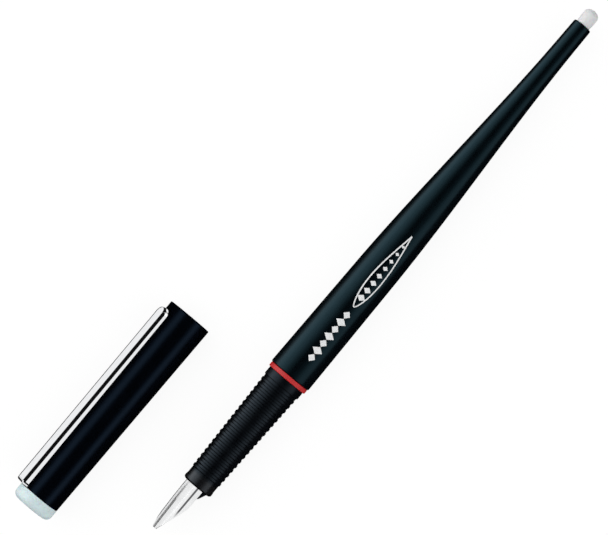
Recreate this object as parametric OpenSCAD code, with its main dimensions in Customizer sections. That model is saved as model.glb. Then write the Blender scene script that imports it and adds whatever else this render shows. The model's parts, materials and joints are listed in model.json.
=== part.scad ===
// Calligraphy fountain pen with a ribbed grip, a long slender tail and a separate clip cap.
// +X runs along the pen from nib to tail, +Z is up, and the cap lies beside the pen at +Y.
// The origin is on the pen's axis, at the end of the collar, where the cap's mouth stops.

/* [Pen] */
// Distance from the cap stop forward to the nib's tip
nib_reach = 45.5; // [45:0.1:46]
// Distance from the cap stop forward to the grip's front face
grip_len = 32.2; // [32:0.1:33]
// Where the trim ring ends behind the cap stop
ring_w = 1.15; // [0.8:0.05:1.6]
// Radius of the trim ring
ring_r = 5.25; // [5.1:0.05:5.3]
// Radius of the smooth collar that the cap snaps over
collar_r = 4.86; // [4.8:0.02:4.9]
// Distance from the cap stop back to the barrel's tail end
barrel_end = 106.2; // [104:0.1:110]

/* [Grip] */
// Number of ribs on the grip
rib_count = 19; // [15:1:19]
// Distance between ribs
rib_pitch = 1.402; // [1.3:0.001:1.42]
// Height of a rib above its grooves
rib_depth = 0.2; // [0.1:0.02:0.4]
// Crest radius of the foremost rib
rib_front_r = 4.0; // [3.9:0.05:4.2]
// Crest radius of the rearmost rib
rib_rear_r = 4.72; // [4.5:0.02:4.8]
// Radius of the smooth nose in front of the ribs
nose_r = 3.8; // [3.7:0.05:3.8]

/* [Barrel taper] */
// Radius that the barrel's straight taper starts from
barrel_r = 5.48; // [5.35:0.01:5.5]
// Radius lost per millimetre all along the barrel
barrel_taper = 0.011; // [0.009:0.001:0.012]
// Extra radius lost where the body narrows into the tail
tail_drop = 2.0; // [1.8:0.05:2.0]
// Where the narrowing starts
shoulder_start = 31.6; // [31:0.2:34]
// Where the narrowing ends
shoulder_end = 100.6; // [98:0.2:104]
// Wall thickness of the barrel
barrel_wall = 0.8; // [0.7:0.05:0.8]

/* [Nib] */
// Outer radius of the nib's curve at the grip
nib_r = 2.95; // [2.9:0.01:2.95]
// Outer radius of the nib's curve at its tip
nib_tip_r = 2.47; // [2.3:0.01:2.7]
// Thickness of the nib's steel
nib_t = 0.3; // [0.2:0.05:0.35]
// Half of the angle that the nib wraps round the feed
nib_half_angle = 77; // [70:1:80]
// Width of the blunt writing tip
tip_w = 1.1; // [0.8:0.1:1.9]
// Length of the nib's narrowing point
point_len = 9.5; // [8:0.5:11]
// Length of the slit
slit_len = 8.5; // [6:0.5:10]
// Turn of the nib and feed about the pen's axis, away from straight up
nib_roll = -40; // [-60:1:60]

/* [Cap] */
// Length of the cap's tube
cap_len = 54; // [53.5:0.1:55]
// Outer radius of the tube at its mouth
cap_mouth_r = 5.57; // [5.5:0.01:5.7]
// Outer radius of the tube at its closed end
cap_end_r = 5.19; // [5.15:0.01:5.3]
// Bore radius at the mouth
cap_bore_r = 4.92; // [4.9:0.01:5]
// Length of the visible part of the cap's end plug
cap_plug_len = 3.3; // [2.5:0.1:5]
// Where the cap's mouth lies along the pen
cap_rest_x = -3.1; // [-6:0.1:0]
// Distance from the pen's axis to the cap's axis
cap_side = 26.3; // [20:0.1:35]
// Turn of the clip about the cap's axis, away from straight up
clip_roll = -63; // [-90:1:90]

/* [Clip] */
// Width of the clip
clip_w = 3.7; // [3.4:0.1:4.4]
// Height of the clip's top above the tube, at its root
clip_h = 1.6; // [1.6:0.05:1.8]
// Depth of the clip's folded sides
clip_side_h = 1.3; // [1.1:0.05:1.3]
// Thickness of the clip's steel
clip_t = 0.35; // [0.3:0.05:0.4]
// Distance from the cap's mouth back to the clip's tip
clip_tip_gap = 2; // [1:0.5:4]

/* [Converter] */
// Radius of the ink tube
converter_r = 3.65; // [3.6:0.01:3.7]
// Radius of the ink tube's chamber
chamber_r = 3.05; // [2.9:0.05:3.1]
// Radius of the knob
knob_r = 3.05; // [2.9:0.05:3.1]
// Where the knob ends
knob_end = 52.5; // [52:0.1:53]
// Travel of the piston
stroke = 22; // [18:1:22]

/* [Fits] */
// Radial clearance of everything that turns or slides in its guide
running = 0.05; // [0.02:0.01:0.08]
// Clearance between parts that are pushed or snapped together for good
snug = 0.02; // [0.01:0.01:0.04]

/* [Hidden] */
$fn = 64;

// Colours
ink_black = [0.06, 0.07, 0.08];
ring_red = [0.8, 0.14, 0.17];
pale_grey = [0.82, 0.83, 0.83];
mint_grey = [0.82, 0.88, 0.88];
steel = [0.8, 0.81, 0.83];
clear = [0.85, 0.9, 0.92, 0.4];
dark_grey = [0.2, 0.2, 0.21];

// How far a cutting shape reaches past what it cuts
past = 1;

// Bevels on turned edges
fine_bevel = 0.1;
small_bevel = 0.2;
bevel = 0.5;

// Grip: nose, ribs and the screw tenon behind the collar
nose_bevel = 0.35;
nose_lip = 0.09;
rib_last = -3.2;
rib_first = rib_last - rib_pitch * (rib_count - 1);
groove_w = 0.86;
groove_floor = 0.46;
collar_len = 1.95;
tenon_r = ring_r - 0.6;
tenon_len = 8.5;
thread_start = 2.2;
thread_pitch = 1.2;
thread_turns = 4;
thread_depth = 0.3;

// Inside the grip: nose bore, web with the ink pipe, and room for the converter
nose_bore_r = nib_r + running;
web_front = -21.5;
web_back = -20;
pipe_r = 1.3;
pipe_bore_r = 0.85;
pipe_end = -15;
neck_room_r = 3.2;
neck_room_end = -7.6;
tube_room_r = converter_r + 0.15;

// Barrel
socket_end = 10;
bore_r = 4.1;
edge_round = 0.45;
taper_step = 3;
wide_bore_end = barrel_end - 11;

// Tail plug
plug_r = 1.85;
plug_len = 4.2;
plug_dome = 1.4;
plug_stem_r = 1.35;
plug_stem_len = 7;

// Nib and feed
nib_back = -22.5;
nib_edge_z = nib_r * cos(nib_half_angle);
slit_w = 0.12;
swell_steps = 6;
swell_power = 1.9;
feed_back = -21.8;
feed_tip = -41.6;
feed_step = 0.3 - grip_len;
feed_rise = 0.35;
feed_tip_rise = 1.35;
feed_front_r = 2.5;
feed_tip_r = 1;
feed_nose_len = 2.4;
feed_nose_r = 1.95;
first_fin = -grip_len - feed_nose_len - 0.1;
feed_tail_r = pipe_bore_r - running;
feed_tail_end = pipe_end - 0.5;
fin_count = 7;
fin_pitch = 0.75;
fin_gap = 0.3;
fin_top = nib_edge_z - 0.2;
channel_w = 0.3;
channel_depth = 0.8;

// Converter stations along the pen
mouth_start = -19.5;
mouth_len = 5;
mouth_channel_r = 1;
neck_end = -7;
neck_r = 3.1;
chamber_start = -6.5;
tube_end = 24.5;
bush_start = 21;
bush_key_end = 24;
bush_end = 26;
band_start = 22;
band_end = 34;
band_r = 3.9;
band_wall = 0.6;
sleeve_start = 24.3;
sleeve_r = 2.2;
sleeve_room_r = 2.3;
sleeve_collar_start = 31.8;
sleeve_collar_end = 33.1;
sleeve_collar_r = 2.8;
knob_start = 34.4;
knob_wall = 1.5;
knob_flutes = 24;
knob_rim = 2;
flute_r = 0.22;

// Piston: the rod has two flats that the bush guides
rod_r = 1.6;
rod_flat = 1.2;
rod_end = knob_end - 2;
seal_len = 4.5;
seal_start = chamber_start + 0.5 + stroke;
seal_waist = 0.35;
rod_head_r = 0.9;
rod_head_start = seal_start + 1.5;

// Cap stations, measured from its mouth toward its closed end
cap_z = cap_mouth_r - barrel_r_at(ring_w + edge_round);
cap_bore_end_r = 4.62;
cap_land = 4;
mouth_round = 0.25;
tang_gap = 0.12;
notch_depth = clip_t + 2 * tang_gap;
clip_edge_w = 0.25;
clip_edge_h = 0.8;
clip_lean = 0.35 * atan((cap_mouth_r - cap_end_r) / cap_len);
clip_top_w = clip_w - 2 * clip_edge_w;
notch_w = clip_top_w + 0.2;
liner_start = 31.4;
liner_end = 50;
liner_mouth_r = nose_r + nose_lip + 0.11;
liner_mouth_len = 1.6;
liner_r = 3.4;
liner_wall = 0.8;
liner_foot = 1.8;
stem_start = liner_end + 0.2;
stem_wall = 0.9;
crown_round = 1.4;
tang_foot_r = 3.6;
tang_room_r = 3.4;
clip_root = cap_len - tang_gap;
bend_r = 0.7;

// Smooth step from 0 to 1
function smooth(t) = let (u = min(max(t, 0), 1)) u * u * (3 - 2 * u);

// Radius of the barrel's outside and of its bore, at a distance behind the cap stop
function barrel_r_at(x) =
    barrel_r - barrel_taper * x
    - tail_drop * smooth((x - shoulder_start) / (shoulder_end - shoulder_start));
function bore_r_at(x) = min(bore_r, barrel_r_at(x) - barrel_wall);

// Crest radius of the ribs along the grip
function crest_r_at(x) =
    rib_front_r + (rib_rear_r - rib_front_r) * (x - rib_first) / (rib_last - rib_first);

// Outline of one groove between two ribs; a side that meets plain grip is left open
function groove(x, opens, closes) = concat(
    opens ? [[x - groove_w / 2, crest_r_at(x - groove_w / 2)],
        [x - groove_floor / 2, crest_r_at(x) - rib_depth]] : [],
    closes ? [[x + groove_floor / 2, crest_r_at(x) - rib_depth],
        [x + groove_w / 2, crest_r_at(x + groove_w / 2)]] : []);

// Outer radius of the nib's curve along the nib
function nib_r_at(x) =
    nib_r - (nib_r - nib_tip_r) * max(-grip_len - x, 0) / (nib_reach - grip_len);

// Outer radius of the cap's tube, and radius of its bore, at a distance from its mouth
function cap_r_at(u) = cap_mouth_r + (cap_end_r - cap_mouth_r) * u / cap_len;
function cap_bore_at(u) =
    cap_bore_r + (cap_bore_end_r - cap_bore_r) * max(u - cap_land, 0) / (cap_len - cap_land);

// Quarter rounds of a turned body's first and last edge, as [distance, radius] points
function first_round(face, side, r) =
    [for (a = [0:15:90]) [face + r * (1 - cos(a)), side - r * (1 - sin(a))]];
function last_round(face, side, r) =
    [for (a = [90:-15:0]) [face - r * (1 - cos(a)), side - r * (1 - sin(a))]];

// Turns an outline of [distance along X, radius] points into a round body about the X axis
module turned(outline) {
    rotate([0, 90, 0]) rotate_extrude() polygon([for (p = outline) [p[1], p[0]]]);
}

// A straight round bar or bore along X
module bar(from, to, r) {
    translate([from, 0, 0]) rotate([0, 90, 0]) cylinder(h = to - from, r = r);
}

// A box along X, centred on Y, between two heights
module block(from, to, width, low, high) {
    translate([from, -width / 2, low]) cube([to - from, width, high - low]);
}

// Places a body that is drawn from the cap's mouth along +X
module at_cap() {
    translate([cap_rest_x, cap_side, cap_z]) mirror([1, 0, 0]) children();
}

module grip_section() {
    color(ink_black) {
        difference() {
            turned(concat(
                [[-grip_len, 0], [-grip_len, nose_r - nose_bevel],
                 [-grip_len + nose_bevel, nose_r + nose_lip],
                 [-grip_len + 3 * nose_bevel, nose_r + nose_lip],
                 [-grip_len + 4 * nose_bevel, nose_r],
                 [rib_first - rib_pitch / 2 - fine_bevel, nose_r]],
                [for (i = [0:rib_count])
                    each groove(rib_first + rib_pitch * (i - 0.5), i > 0, i < rib_count)],
                [[-collar_len, collar_r], [0, collar_r], [0, tenon_r]],
                [for (i = [0:thread_turns - 1]) let (x = thread_start + i * thread_pitch)
                    each [[x, tenon_r], [x + thread_depth, tenon_r - thread_depth],
                          [x + 2 * thread_depth, tenon_r]]],
                [[tenon_len - thread_depth, tenon_r],
                 [tenon_len, tenon_r - thread_depth], [tenon_len, 0]]
            ));
            bar(-grip_len - past, web_front, nose_bore_r);
            bar(web_front - past, web_back + past, pipe_bore_r);
            bar(web_back, neck_room_end, neck_room_r);
            bar(neck_room_end, tenon_len + past, tube_room_r);
        }
        difference() {
            bar((web_front + web_back) / 2, pipe_end, pipe_r);
            bar(web_front, pipe_end + past, pipe_bore_r);
        }
    }
}

// Plan of the nib: full width, then round shoulders down to the blunt tip
module nib_plan() {
    shoulder = -nib_reach + point_len;
    side = nib_r + past;
    half_tip = tip_w / 2;
    half_width = nib_r_at(shoulder) * sin(nib_half_angle);
    swell = [for (i = [0:swell_steps]) let (t = i / swell_steps)
        [shoulder - point_len * t,
         half_width - (half_width - half_tip) * pow(t, swell_power)]];
    polygon(concat(
        [[nib_back, -side], [nib_back, side], [shoulder, side]], swell,
        [for (i = [swell_steps:-1:0]) [swell[i][0], -swell[i][1]]], [[shoulder, -side]]
    ));
}

module nib() {
    color(steel) rotate([nib_roll, 0, 0]) difference() {
        intersection() {
            difference() {
                turned([[-nib_reach, 0], [-nib_reach, nib_tip_r], [-grip_len, nib_r],
                    [nib_back, nib_r], [nib_back, 0]]);
                turned([[-nib_reach - past, 0], [-nib_reach - past, nib_tip_r - nib_t],
                    [-nib_reach, nib_tip_r - nib_t], [-grip_len, nib_r - nib_t],
                    [nib_back + past, nib_r - nib_t], [nib_back + past, 0]]);
            }
            translate([0, 0, nib_edge_z]) linear_extrude(nib_r) nib_plan();
        }
        block(-nib_reach - past, -nib_reach + slit_len, slit_w, 0, nib_r + past);
    }
}

// The feed fills the nose behind the nib and tapers under it to the front
module feed() {
    under_nib = nib_t + running;
    front = [feed_tip + grip_len, feed_tip_rise - feed_rise];
    color(ink_black) rotate([nib_roll, 0, 0]) {
        difference() {
            intersection() {
                union() {
                    turned([[feed_tip, 0], [feed_tip, nib_r_at(feed_tip) - under_nib],
                        [-grip_len, nib_r - under_nib], [feed_back, nib_r - under_nib],
                        [feed_back, 0]]);
                    intersection() {
                        bar(feed_tip, feed_back, nib_r);
                        block(feed_tip, feed_back, 2 * nib_r, -nib_r, nib_edge_z - running);
                    }
                }
                union() {
                    bar(feed_step, feed_back + past, nib_r + past);
                    turned([[-grip_len - feed_nose_len, 0],
                        [-grip_len - feed_nose_len, feed_nose_r], [-grip_len, nib_r],
                        [feed_step + past, nib_r], [feed_step + past, 0]]);
                    translate([-grip_len, 0, feed_rise])
                        rotate([0, atan2(front[0], front[1]), 0])
                        translate([0, 0, -past])
                        cylinder(h = norm(front) + past, r1 = feed_front_r, r2 = feed_tip_r);
                }
            }
            for (i = [0:fin_count - 1])
                block(first_fin - i * fin_pitch - fin_gap, first_fin - i * fin_pitch,
                    2 * nib_r + past, -nib_r - past, fin_top);
            block(feed_tip - past, feed_back + past, channel_w, nib_r - channel_depth, nib_r);
        }
        bar(feed_back - past, feed_tail_end, feed_tail_r);
    }
}

module trim_ring() {
    round_r = 0.15;
    color(ring_red) difference() {
        turned(concat([[snug, 0]], first_round(snug, ring_r, round_r),
            last_round(ring_w, ring_r, round_r), [[ring_w, 0]]));
        bar(-past, ring_w + past, tenon_r + running);
    }
}

module barrel() {
    front = ring_w + snug;
    side_end = barrel_end - edge_round;
    color(ink_black) difference() {
        turned(concat(
            [[front, 0]], first_round(front, barrel_r_at(front), edge_round),
            [for (x = [front + taper_step:taper_step:side_end - past]) [x, barrel_r_at(x)]],
            last_round(barrel_end, barrel_r_at(side_end), edge_round),
            [[barrel_end, 0]]
        ));
        bar(front - past, socket_end, tenon_r + running);
        turned(concat([[socket_end - past, 0]],
            [for (x = [socket_end - past:taper_step:wide_bore_end]) [x, bore_r_at(x)]],
            [[wide_bore_end, bore_r_at(wide_bore_end)], [wide_bore_end, 0]]));
        bar(wide_bore_end - past, barrel_end + past, plug_stem_r + snug);
    }
}

module tail_plug() {
    color(pale_grey) turned(concat(
        [[barrel_end - plug_stem_len, 0], [barrel_end - plug_stem_len, plug_stem_r],
         [barrel_end + snug, plug_stem_r], [barrel_end + snug, plug_r - fine_bevel],
         [barrel_end + plug_len / 3, plug_r]],
        [for (a = [0:15:90])
            [barrel_end + plug_len - plug_dome * (1 - sin(a)), plug_r * cos(a)]]
    ));
}

module converter_tube() {
    color(clear) difference() {
        turned([[mouth_start, 0], [mouth_start, neck_r - bevel], [mouth_start + bevel, neck_r],
            [neck_end, neck_r], [neck_end + bevel, converter_r], [tube_end, converter_r],
            [tube_end, 0]]);
        bar(mouth_start - past, mouth_start + mouth_len, pipe_r + running);
        bar(mouth_start, chamber_start + past, mouth_channel_r);
        bar(chamber_start, tube_end + past, chamber_r);
    }
}

module converter_band() {
    color(steel) difference() {
        turned([[band_start, 0], [band_start, band_r - fine_bevel],
            [band_start + fine_bevel, band_r], [band_end - small_bevel, band_r],
            [band_end, band_r - small_bevel], [band_end, 0]]);
        bar(band_start - past, band_end - band_wall, converter_r + snug);
        bar(band_start, band_end + past, sleeve_room_r);
    }
}

// The rod's cross-section, or the bush's hole round it: a circle with two flats
module rod_shape(from, to, gap) {
    intersection() {
        bar(from, to, rod_r + gap);
        block(from, to, 2 * rod_flat + 2 * gap, -rod_r - past, rod_r + past);
    }
}

module converter_bush() {
    color(dark_grey) difference() {
        union() {
            bar(bush_start, tube_end + snug, chamber_r - snug);
            bar(tube_end + snug, bush_end, converter_r);
        }
        rod_shape(bush_start - past, bush_end + past, running);
        bar(bush_key_end, bush_end + past, sleeve_room_r);
    }
}

module piston_seal() {
    r = chamber_r - running;
    lip = seal_len / 4;
    color(dark_grey) difference() {
        turned([[seal_start, 0], [seal_start, r - bevel], [seal_start + bevel, r],
            [seal_start + lip, r], [seal_start + 1.5 * lip, r - seal_waist],
            [seal_start + 2.5 * lip, r - seal_waist], [seal_start + 3 * lip, r],
            [seal_start + seal_len, r], [seal_start + seal_len, 0]]);
        bar(rod_head_start - snug, seal_start + seal_len + past, rod_head_r + snug);
    }
}

module piston_rod() {
    color(dark_grey) {
        bar(rod_head_start, seal_start + seal_len + past / 2, rod_head_r);
        rod_shape(seal_start + seal_len + snug, rod_end, 0);
    }
}

module converter_knob() {
    color(dark_grey) difference() {
        union() {
            bar(sleeve_start, knob_start + past, sleeve_r);
            bar(sleeve_collar_start, sleeve_collar_end, sleeve_collar_r);
            turned([[knob_start, 0], [knob_start, knob_r - small_bevel],
                [knob_start + small_bevel, knob_r], [knob_end - bevel, knob_r],
                [knob_end, knob_r - bevel], [knob_end, 0]]);
        }
        bar(sleeve_start - past, knob_end - knob_wall, rod_r + running);
        for (i = [0:knob_flutes - 1])
            rotate([i * 360 / knob_flutes, 0, 0]) translate([0, 0, knob_r])
                bar(knob_start + knob_rim, knob_end + past, flute_r);
    }
}

module cap_tube() {
    color(ink_black) at_cap() difference() {
        turned([[0, 0], [0, cap_mouth_r - mouth_round], [mouth_round, cap_mouth_r],
            [cap_len, cap_end_r], [cap_len, 0]]);
        bar(-past, cap_land, cap_bore_r);
        turned([[cap_land - past, 0], [cap_land - past, cap_bore_r], [cap_land, cap_bore_r],
            [cap_len + past, cap_bore_at(cap_len + past)], [cap_len + past, 0]]);
        rotate([clip_roll, 0, 0])
            block(cap_len - notch_depth, cap_len + past, notch_w, 0, cap_mouth_r + past);
    }
}

module inner_cap() {
    waist_r = liner_r + liner_wall;
    foot = liner_start + liner_mouth_len + liner_foot;
    color(pale_grey) at_cap() difference() {
        turned([[liner_start, 0], [liner_start, cap_bore_at(liner_start) - 2 * snug],
            [foot, cap_bore_at(foot) - 2 * snug], [foot + bevel, waist_r],
            [liner_end - liner_foot - bevel, waist_r],
            [liner_end - liner_foot, cap_bore_at(liner_end) - 2 * snug],
            [liner_end, cap_bore_at(liner_end) - 2 * snug], [liner_end, 0]]);
        bar(liner_start - past, liner_start + liner_mouth_len, liner_mouth_r);
        bar(liner_start, liner_end - liner_wall, liner_r);
    }
}

module cap_plug() {
    stem_r = cap_bore_end_r - snug;
    top = cap_len + cap_plug_len;
    color(mint_grey) at_cap() difference() {
        turned(concat(
            [[stem_start, 0], [stem_start, stem_r], [cap_len + snug, stem_r],
             [cap_len + snug, cap_end_r]],
            last_round(top, cap_end_r, crown_round), [[top, 0]]
        ));
        bar(stem_start - past, cap_len - past, stem_r - stem_wall);
        rotate([clip_roll, 0, 0])
            block(stem_start - past, cap_len + tang_gap, notch_w, tang_room_r, cap_mouth_r + past);
    }
}

// Places the clip on the cap: x along the cap, z above the tube at the clip's root
module at_clip() {
    at_cap() rotate([clip_roll, 0, 0]) translate([clip_root, 0, cap_r_at(clip_root)])
        rotate([0, clip_lean, 0]) translate([-clip_root, 0, 0]) children();
}

// Half of the clip's cross-section, out from its middle: flat top, slanted edge, folded side
module clip_half_section() {
    top = clip_h;
    half = clip_w / 2;
    reach = clip_root - clip_tip_gap;
    tube_rise = cap_r_at(clip_tip_gap) - cap_r_at(clip_root) - reach * tan(clip_lean);
    bottom = max(clip_h - clip_side_h, tube_rise + running);
    polygon([[0, top], [half - clip_edge_w, top], [half, top - clip_edge_h], [half, bottom],
        [half - clip_t, bottom], [half - clip_t, top - clip_edge_h],
        [half - clip_t - clip_edge_w, top - clip_t], [0, top - clip_t]]);
}

// The clip is one strip of steel: a tang in the cap's notch, a round bend, and a straight arm
// along the tube, whose folded sides run on round its tip
module clip() {
    half = clip_w / 2;
    tip_x = clip_tip_gap + half;
    bend_x = clip_root - bend_r;
    bend_z = clip_h - bend_r;
    color(steel) at_clip() {
        translate([tip_x, 0, 0]) rotate([90, 0, 90]) linear_extrude(bend_x - tip_x) {
            clip_half_section();
            mirror([1, 0]) clip_half_section();
        }
        intersection() {
            translate([tip_x, 0, 0]) rotate_extrude() clip_half_section();
            block(0, tip_x, 2 * clip_w, 0, clip_h + past);
        }
        difference() {
            translate([bend_x, clip_top_w / 2, bend_z]) rotate([90, 0, 0])
                cylinder(h = clip_top_w, r = bend_r);
            translate([bend_x, clip_w, bend_z]) rotate([90, 0, 0])
                cylinder(h = 2 * clip_w, r = bend_r - clip_t);
            block(bend_x - past, bend_x, 2 * clip_w, 0, clip_h + past);
            block(bend_x - past, clip_root + past, 2 * clip_w, 0, bend_z);
        }
        block(clip_root - clip_t, clip_root, clip_top_w, tang_foot_r - cap_r_at(clip_root),
            bend_z);
    }
}

grip_section();
nib();
feed();
trim_ring();
barrel();
tail_plug();
converter_tube();
converter_band();
converter_bush();
piston_seal();
piston_rod();
converter_knob();
cap_tube();
inner_cap();
cap_plug();
clip();
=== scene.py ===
import json
import math

import bmesh
import bpy
from mathutils import Matrix, Vector

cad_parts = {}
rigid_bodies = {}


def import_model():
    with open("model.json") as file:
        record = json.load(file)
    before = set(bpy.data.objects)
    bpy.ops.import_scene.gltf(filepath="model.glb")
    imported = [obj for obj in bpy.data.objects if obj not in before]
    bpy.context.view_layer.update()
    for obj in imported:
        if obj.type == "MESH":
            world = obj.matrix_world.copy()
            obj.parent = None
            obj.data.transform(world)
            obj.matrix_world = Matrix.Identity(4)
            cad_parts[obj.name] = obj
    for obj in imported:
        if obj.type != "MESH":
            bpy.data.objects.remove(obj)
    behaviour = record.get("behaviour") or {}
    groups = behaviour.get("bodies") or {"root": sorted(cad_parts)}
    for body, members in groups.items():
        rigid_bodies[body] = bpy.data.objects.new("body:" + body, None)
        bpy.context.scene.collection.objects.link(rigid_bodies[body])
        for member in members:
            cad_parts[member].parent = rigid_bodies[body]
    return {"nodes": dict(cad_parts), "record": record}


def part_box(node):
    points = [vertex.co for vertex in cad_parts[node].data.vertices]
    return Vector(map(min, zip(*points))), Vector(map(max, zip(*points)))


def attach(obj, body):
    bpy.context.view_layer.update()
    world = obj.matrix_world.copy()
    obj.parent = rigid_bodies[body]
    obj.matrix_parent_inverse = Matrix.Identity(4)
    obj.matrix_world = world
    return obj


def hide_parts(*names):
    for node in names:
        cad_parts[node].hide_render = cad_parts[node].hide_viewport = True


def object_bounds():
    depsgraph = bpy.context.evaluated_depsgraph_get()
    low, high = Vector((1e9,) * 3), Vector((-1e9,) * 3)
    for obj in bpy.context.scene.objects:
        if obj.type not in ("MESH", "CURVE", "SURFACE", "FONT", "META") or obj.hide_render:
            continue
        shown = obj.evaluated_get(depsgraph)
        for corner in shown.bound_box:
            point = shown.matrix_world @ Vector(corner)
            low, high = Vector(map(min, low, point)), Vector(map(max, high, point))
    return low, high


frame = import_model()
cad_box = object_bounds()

MM = 0.001
scene = bpy.context.scene
scene.view_settings.view_transform = "Standard"

# Places that everything else is worked out from
cap_low, cap_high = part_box("cap_tube")
CAP_AXIS = Vector((0, (cap_low.y + cap_high.y) / 2, (cap_low.z + cap_high.z) / 2))
FLOOR_Z = cad_box[0][2]
BODY_OF = {node: body for body, nodes in frame["record"]["behaviour"]["bodies"].items()
           for node in nodes}


# ---------------------------------------------------------------- materials

class Nodes:
    """Short calls for building one material's node tree."""

    def __init__(self, name):
        self.material = bpy.data.materials.new(name)
        self.material.use_nodes = True
        self.tree = self.material.node_tree
        self.shader = self.tree.nodes["Principled BSDF"]
        self.place = self.tree.nodes.new("ShaderNodeTexCoord").outputs["Object"]

    def node(self, kind, **values):
        made = self.tree.nodes.new("ShaderNode" + kind)
        for key, value in values.items():
            setattr(made, key, value)
        return made

    def link(self, output, socket):
        self.tree.links.new(output, socket)
        return output

    def scaled(self, x, y, z):
        """The place on the object, stretched by a factor along each axis."""
        mapping = self.node("Mapping")
        mapping.inputs["Scale"].default_value = (x, y, z)
        self.link(self.place, mapping.inputs["Vector"])
        return mapping.outputs["Vector"]

    def noise(self, scale, detail=2.0, rough=0.5, where=None):
        made = self.node("TexNoise")
        made.inputs["Scale"].default_value = scale
        made.inputs["Detail"].default_value = detail
        made.inputs["Roughness"].default_value = rough
        self.link(where or self.place, made.inputs["Vector"])
        return made.outputs["Fac"]

    def ramp(self, value, low, high, from_low=0.3, from_high=0.7):
        made = self.node("MapRange")
        made.inputs["From Min"].default_value = from_low
        made.inputs["From Max"].default_value = from_high
        made.inputs["To Min"].default_value = low
        made.inputs["To Max"].default_value = high
        self.link(value, made.inputs["Value"])
        return made.outputs["Result"]

    def math(self, operation, first, second):
        made = self.node("Math", operation=operation)
        for socket, value in zip(made.inputs, (first, second)):
            if isinstance(value, (int, float)):
                socket.default_value = value
            else:
                self.link(value, socket)
        return made.outputs[0]

    def colours(self, value, first, second):
        """A mix of two colours; the first may be the output of another node."""
        made = self.node("Mix", data_type="RGBA")
        if isinstance(first, tuple):
            made.inputs["A"].default_value = (*first, 1)
        else:
            self.link(first, made.inputs["A"])
        made.inputs["B"].default_value = (*second, 1)
        self.link(value, made.inputs["Factor"])
        return made.outputs["Result"]

    def mottled(self, scale, detail, first, second):
        """Base colour that wanders between two close shades."""
        shade = self.ramp(self.noise(scale, detail), 0, 1)
        self.link(self.colours(shade, first, second), self.shader.inputs["Base Color"])

    def rough(self, scale, low, high):
        """Roughness that wanders between two values."""
        self.link(self.ramp(self.noise(scale, 3), low, high), self.shader.inputs["Roughness"])

    def bump(self, height, strength, distance):
        made = self.node("Bump")
        made.inputs["Strength"].default_value = strength
        made.inputs["Distance"].default_value = distance
        self.link(height, made.inputs["Height"])
        self.link(made.outputs["Normal"], self.shader.inputs["Normal"])

    def set(self, **values):
        """Values that are the same all over the surface, on the shader's own sockets."""
        names = {"specular": "Specular IOR Level", "coat_roughness": "Coat Roughness",
                 "metallic": "Metallic", "ior": "IOR", "tint": "Specular Tint",
                 "transmission": "Transmission Weight", "subsurface": "Subsurface Weight",
                 "subsurface_scale": "Subsurface Scale"}
        for key, value in values.items():
            if isinstance(value, tuple) and len(value) == 3:
                value = (*value, 1)
            self.shader.inputs[names[key]].default_value = value


def black_plastic(name, colour, worn, tint, specular, rough_low, rough_high):
    """Moulded black plastic: faint mottling, fine moulding texture, and small handling marks."""
    m = Nodes(name)
    m.set(tint=tint, specular=specular)
    m.mottled(260, 4, colour, worn)
    cloudy = m.noise(420, 3)
    streaks = m.noise(900, 3, where=m.scaled(0.12, 1, 1))
    both = m.math("MULTIPLY", m.math("ADD", cloudy, streaks), 0.5)
    m.link(m.ramp(both, rough_low, rough_high), m.shader.inputs["Roughness"])
    m.bump(m.noise(5200, 2), 0.12, 0.00002)
    return m.material


def grip_plastic():
    """Satin black plastic under a clear coat on the nose before the ribs, where a paler base
    colour is painted sheen for the nose's brighter reflections.
    """
    m = Nodes("grip_black_plastic")
    m.set(tint=BLUE, specular=0.45, coat_roughness=0.2)
    parts = m.node("SeparateXYZ")
    m.link(m.place, parts.inputs["Vector"])
    nose = m.ramp(parts.outputs["X"], 1, 0, NOSE_PAINTED_SHEEN_AND_COAT_TO * MM, (NOSE_PAINTED_SHEEN_AND_COAT_TO + 0.8) * MM)
    plain = m.colours(m.ramp(m.noise(260, 4), 0, 1), (0.0012, 0.0014, 0.0022),
                      (0.0022, 0.0026, 0.0036))
    # Painted sheen: the nose's base colour is paler, to stand in for its brighter reflections
    m.link(m.colours(nose, plain, (0.0055, 0.0048, 0.005)), m.shader.inputs["Base Color"])
    m.rough(420, 0.26, 0.34)
    m.link(m.ramp(nose, 0, 0.7, 0, 1), m.shader.inputs["Coat Weight"])
    m.bump(m.noise(5200, 2), 0.12, 0.00002)
    return m.material


def pale_plastic(name, colour, shade):
    """Pale plastic that lets a little light in."""
    m = Nodes(name)
    m.set(specular=0.4, subsurface=0.12, subsurface_scale=0.0008)
    m.mottled(700, 4, colour, shade)
    m.rough(1100, 0.34, 0.46)
    m.bump(m.noise(4200, 2), 0.15, 0.00002)
    return m.material


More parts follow.
